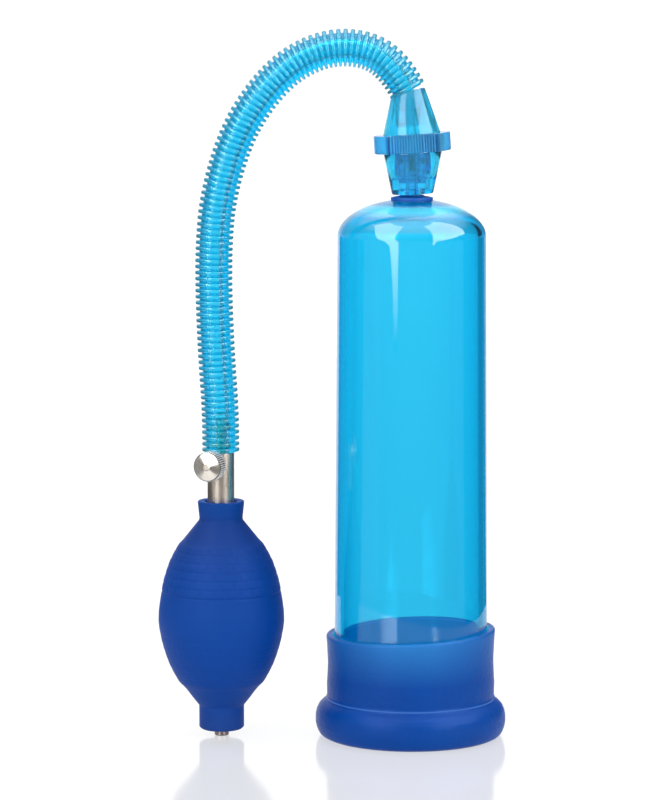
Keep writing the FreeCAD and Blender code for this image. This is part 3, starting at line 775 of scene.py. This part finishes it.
def make_knob():
    """Thumb screw's head: straight knurling round the rim and a face that rises as a shallow cone."""
    back, front, bore, teeth, around = 9.0, 15.3, 1.45, 42, 672
    rim_r, groove_depth, tip_r = 5.7, 0.45, 0.1
    rim_z = front - 0.9
    angles = np.linspace(0, 2 * math.pi, around, endpoint=False)
    groove = np.clip(2.0 - np.abs(((angles * teeth / (2 * math.pi)) % 1) - 0.5) * 6.5, 0, 1)

    def ring(r, z, cut=0.0):
        reach = r - cut * groove
        return np.stack([reach * np.cos(angles), reach * np.sin(angles), np.full(around, z)], 1)

    rings = [ring(bore, back), ring(4.9, back), ring(5.35, back + 0.35)]
    rings += [ring(rim_r, z, groove_depth) for z in np.arange(back + 0.6, rim_z - 0.3, 0.08)]
    rings += [ring(5.45, rim_z - 0.15), ring(5.3, rim_z), ring(5.15, rim_z + 0.02)]
    rings += [ring(5.1 + (1.0 - 5.1) * t, rim_z + 0.04 + 0.83 * t) for t in np.linspace(0, 1, 14)]
    rings += [ring(0.95, front + 0.1), ring(0.6, front + 0.25), ring(tip_r, front + 0.28),
              ring(tip_r, back + 0.5), ring(bore, back + 0.4)]
    verts, faces = skin(rings)
    piece("knurled_knob", along_screw(verts), faces, knob_nickel.material, "knob", "nickel_plated_brass",
          ["release_knob"], 28)


make_valve()
make_knob()


# ---- Bulb -----------------------------------------------------------------------------------

BULB_SIDE = [
    (8.66, 11.9), (11.1, 15.0), (13.4, 18.1), (14.95, 19.9), (15.55, 20.3), (16.3, 21.2), (18.1, 24.3),
    (19.7, 27.5), (20.9, 30.6), (21.9, 33.7), (22.75, 36.8), (23.75, 41.5), (24.08, 44.6), (23.95, 48.5),
    (23.45, 52.3), (22.78, 56.2), (22.0, 60.1), (20.85, 64.0), (19.5, 67.8), (17.5, 71.7), (15.75, 74.6),
    (15.15, 75.1), (14.7, 75.6), (11.65, 79.4), (8.3, 83.6),
]
PAD_COLUMNS, PAD_WIDTH, PAD_HEIGHT = 26, 5.0, 3.1
UPPER_PADS_Z, UPPER_PADS_RISE, LOWER_PADS_Z, LOWER_PADS_RISE = 56.4, 0.13, 20.6, 0.07
SEAM_Z, SEAM_DEPTH, SEAM_WIDTH = 56.1, 0.22, 0.28


def pads(angle, z, low, rows=6):
    """Height of the staggered raised pads of one band of rows, from 0 to 1."""
    row = (z - low) / PAD_HEIGHT
    column = angle / (2 * math.pi) * PAD_COLUMNS + 0.5 * (np.floor(row) % 2)
    across = np.minimum(column % 1, 1 - column % 1) * PAD_WIDTH
    along = np.minimum(row % 1, 1 - row % 1) * PAD_HEIGHT
    raised = smooth_step((np.minimum(across, along) - 0.12) / 0.45)
    return np.where((z > low) & (z < low + rows * PAD_HEIGHT), raised, 0)


def make_bulb():
    """Hollow bulb with two necks, two bands of low pads and a fine parting groove."""
    side = np.array(BULB_SIDE)
    zs = np.arange(side[0, 1], side[-1, 1], 0.26)
    rs = np.interp(zs, side[:, 1], side[:, 0])
    for _ in range(6):
        rs[1:-1] = (rs[:-2] + 2 * rs[1:-1] + rs[2:]) / 4
    body = list(zip(rs, zs))
    neck = outline([body[-1], (8.25, 84.2, 1.0), (8.95, 91.0, 0.7), (6.3, 90.7, 0.8), (5.45, 89.0, 0.6),
                    (5.25, 87.5), (5.2, 79.0)])[1:]
    hollow = outline([(5.2, 79.0), (13.0, 72.4, 2), (19.4, 60.0, 9), (21.5, 45.0, 12), (18.6, 30.0, 9),
                      (11.6, 20.6, 2), (5.2, 13.7), (5.2, 4.0), (2.8, 4.0)])[1:]
    foot = outline([(2.8, 4.0), (2.8, 2.6, 0.2), (7.6, 2.6, 0.5), (8.6, 3.4, 0.9), (8.6, 11.2, 0.8),
                    body[0]])[1:-1]
    profile = np.array([*body, *neck, *hollow, *foot])
    around = 520
    verts, faces = lathe(profile, around)
    angle = np.arctan2(verts[:, 1], verts[:, 0])
    r = np.hypot(verts[:, 0], verts[:, 1])
    z = verts[:, 2]
    outer = np.arange(len(verts)) < around * len(body)
    height = UPPER_PADS_RISE * pads(angle, z, UPPER_PADS_Z) + LOWER_PADS_RISE * pads(angle, z, LOWER_PADS_Z)
    height -= SEAM_DEPTH * np.exp(-((z - SEAM_Z) / SEAM_WIDTH) ** 2)
    scale = 1 + np.where(outer, height, 0) / r
    verts[:, 0] *= scale
    verts[:, 1] *= scale
    piece("squeeze_bulb", at_bulb(verts), faces, bulb_rubber.material, "hose_set", "bulb_rubber",
          ["bulb"], 60)


make_bulb()


# ---- CAD nodes that stay as they are --------------------------------------------------------

LOOKS = {
    "coupling_bush": bush_plastic, "coupling_insert": insert_plastic, "needle_packing": packing_rubber,
    "release_needle": nickel, "intake_seat": nickel, "intake_ball": ball_steel, "intake_cage": nickel,
    "exhaust_body": dark_nickel, "exhaust_seat": dark_nickel, "exhaust_ball": ball_steel,
    "exhaust_cage": nickel,
}
for node, look in LOOKS.items():
    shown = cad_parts[node]
    shown.data.materials.clear()
    shown.data.materials.append(look.material)


# ---- Floor, light and camera ----------------------------------------------------------------

FLOOR_HALF, FLOOR_GLOW = 8, 0.58
CARD_REACH, CARD_HEIGHT, CARD_COLUMNS = 1.2, 0.19, 9
SHADE_FROM, SHADE_TO, SHADE_HEIGHT, SHADE_STEPS = 0.30, 7.0, 0.004, 60
BACK_WALL, RIGHT_FADE = (0.60, 0.95), (0.40, 0.54)
FRONT_GLOSS, LEFT_WALL, OVERHEAD, WORLD_FILL = 0.08, 0.40, 2.6, 0.72
OBJECT_MIDDLE = (-0.02, 0, 0.16)
CAMERA_PLACE, CAMERA_TILT, CAMERA_LENS = (-0.0332, -1.390, 0.292), 6.67, 165.6


def make_floor():
    """Pale, softly mirroring sheet; its mirror fades out in front, short of the camera."""
    half = FLOOR_HALF
    corners = [(-half, -half, 0), (half, -half, 0), (half, half, 0), (-half, half, 0)]
    mesh = bpy.data.meshes.new("floor")
    mesh.from_pydata(corners, [], [(0, 1, 2, 3)])
    n = Nodes("floor_finish")
    n.set(IOR=1.45, Emission_Strength=FLOOR_GLOW)
    n.set(Base_Color=(0.2, 0.2, 0.2, 1), Emission_Color=(1, 1, 1, 1))
    n.drive("Roughness", n.span(n.noise(3, 2), 0.3, 0.7, 0.09, 0.13))
    n.drive("Specular IOR Level", n.span(n.split(n.place)["Y"], -0.45, -0.27, 0.0, 0.5))
    mesh.materials.append(n.material)
    placed("floor", mesh)


def area_light(name, place, target, size, power):
    """Soft lamp that lights the scene but isn't mirrored in it; the cards below are."""
    data = bpy.data.lights.new(name, "AREA")
    data.shape = "RECTANGLE"
    data.size, data.size_y = size
    data.energy = power
    lamp = placed(name, data)
    lamp.location = place
    lamp.rotation_euler = (Vector(target) - Vector(place)).to_track_quat("-Z", "Y").to_euler()
    lamp.visible_glossy = False


def mirror_card(name, corners, faces, strength, fade, one_sided=False):
    """Glowing card seen only in reflections; it fades out downwards between two heights.

    A one-sided card lets rays from its back through.
    """
    mesh = bpy.data.meshes.new(name)
    mesh.from_pydata(corners, [], faces)
    n = Nodes(name + "_glow")
    glow = n.add("Emission")
    n.link(n.span(n.height(), *fade, 0.0, strength), glow.inputs["Strength"])
    n.link(n.ramp(n.noise(2, 1), [(0.2, (0.95, 0.95, 0.95)), (0.8, (1, 1, 1))]), glow.inputs["Color"])
    shown = glow
    if one_sided:
        shown = n.add("MixShader")
        n.link(n.add("NewGeometry").outputs["Backfacing"], shown.inputs[0])
        n.link(glow.outputs[0], shown.inputs[1])
        n.link(n.add("BsdfTransparent").outputs[0], shown.inputs[2])
    n.link(shown.outputs[0], n.out.inputs["Surface"])
    mesh.materials.append(n.material)
    card = placed(name, mesh)
    card.visible_camera = False
    card.visible_diffuse = False
    card.visible_transmission = False
    card.visible_shadow = False


def strip_faces(columns, rows):
    """Faces between neighbouring rows of an even grid of corners."""
    return [(a, a + 1, a + columns + 1, a + columns)
            for row in range(rows - 1) for a in range(row * columns, (row + 1) * columns - 1)]


def dome_card(name, rows, strength, fade):
    """Mirror card on a sphere round the cylinder's top; rows are (elevation, first, last azimuth from -Y)."""
    corners = []
    for elevation, first, last in rows:
        rise = math.radians(elevation)
        level, up = CARD_REACH * math.cos(rise), CARD_REACH * math.sin(rise)
        for azimuth in np.radians(np.linspace(first, last, CARD_COLUMNS)):
            corners.append((level * math.sin(azimuth), -level * math.cos(azimuth), CARD_HEIGHT + up))
    mirror_card(name, corners, strip_faces(CARD_COLUMNS, len(rows)), strength, fade)


def floor_shade(name, first, last, strength):
    """Dimmer floor between two azimuths from -Y, seen only in reflections and only from above."""
    corners = [(-0.03 + reach * math.sin(angle), -reach * math.cos(angle), SHADE_HEIGHT)
               for angle in np.radians(np.linspace(first, last, SHADE_STEPS + 1))
               for reach in (SHADE_FROM, SHADE_TO)]
    mirror_card(name, corners, strip_faces(2, SHADE_STEPS + 1), strength, (-1.0, 0.0), one_sided=True)


def make_world():
    """Pale studio: white seen directly or through clear plastic; in reflections a white wall behind."""
    world = bpy.data.worlds.new("studio")
    bpy.context.scene.world = world
    world.use_nodes = True
    g = Graph(world.node_tree)

    def background(strength):
        node = g.add("Background")
        node.inputs["Color"].default_value = (1, 1, 1, 1)
        if isinstance(strength, float):
            node.inputs["Strength"].default_value = strength
        else:
            g.link(strength, node.inputs["Strength"])
        return node

    def mix(factor, first, second):
        node = g.add("MixShader")
        g.link(factor, node.inputs["Fac"])
        g.link(first.outputs[0], node.inputs[1])
        g.link(second.outputs[0], node.inputs[2])
        return node

    def ease(source, low, high, to_low=0.0, to_high=1.0):
        return g.span(source, low, high, to_low, to_high, "SMOOTHSTEP")

    ray = g.add("LightPath").outputs
    away = g.split(g.add("TexCoord").outputs["Generated"])
    wall = g.step("MULTIPLY", ease(away["Y"], *BACK_WALL), ease(away["X"], 0.12, 0.32, 1.0, 0.0))
    left = ease(away["X"], -0.1, -0.6, 0.0, LEFT_WALL)
    above = ease(away["Z"], 0.45, 0.90, 0.0, OVERHEAD)
    brightest = g.step("MAXIMUM", g.step("MAXIMUM", wall, left), above)
    mirrored = background(g.step("MAXIMUM", brightest, FRONT_GLOSS))
    lit = mix(ray["Is Glossy Ray"], background(WORLD_FILL), mirrored)
    inside = g.step("MULTIPLY", ease(ray["Transmission Depth"], 0.2, 0.8),
                    ease(ray["Is Diffuse Ray"], 0.2, 0.8, 1.0, 0.0))
    white = background(g.step("MULTIPLY", ease(away["X"], *RIGHT_FADE, 1.05, 0.08),
                              ease(away["Z"], 0.15, 0.6, 1.0, 1.9)))
    seen = mix(g.step("MAXIMUM", ray["Is Camera Ray"], inside), lit, white)
    g.link(seen.outputs[0], g.add("OutputWorld").inputs["Surface"])


def make_camera():
    """Long lens in front of the object and a little above it, tilted slightly down."""
    data = bpy.data.cameras.new("camera")
    data.sensor_width = 36
    data.lens = CAMERA_LENS
    data.clip_end = 30
    camera = placed("camera", data)
    camera.location = CAMERA_PLACE
    camera.rotation_euler = (math.radians(90 - CAMERA_TILT), 0, 0)
    bpy.context.scene.camera = camera


make_floor()
make_world()
make_camera()
area_light("left_softbox", (-0.66, -0.96, 0.66), OBJECT_MIDDLE, (0.40, 0.50), 4.0)
area_light("right_softbox", (0.82, -0.76, 0.66), OBJECT_MIDDLE, (0.45, 0.50), 4.0)
area_light("top_softbox", (-0.05, 0.1, 1.2), (-0.03, 0, 0.1), (1.0, 0.8), 5.5)
dome_card("left_card", [(-7, -27, -23), (-4.5, -31, -22), (-3, -37, -21), (-1.5, -46, -22), (5, -54, -26),
                        (20, -60, -28), (40, -72, -26), (55, -100, -27), (72, -104, -30)], 8.0, (0.05, 0.12))
dome_card("right_card", [(-3, 31, 33), (-1, 31, 40), (6, 31, 60), (22, 32, 94), (33, 33, 100),
                         (50, 36, 108), (72, 40, 110)], 8.5, (0.05, 0.12))
# The floor beyond the white sheet, dimmer in front and at the sides.
for side, first, last, glow in (("far_left", -150, -80, 0.05), ("left", -80, -48, 0.45),
                                ("front", -48, 85, 0.33), ("right", 85, 150, 0.03)):
    floor_shade(side + "_shade", first, last, glow)

scene = bpy.context.scene
scene.view_settings.view_transform = "Standard"
scene.cycles.max_bounces = 16
scene.cycles.transmission_bounces = 14
scene.cycles.transparent_max_bounces = 12
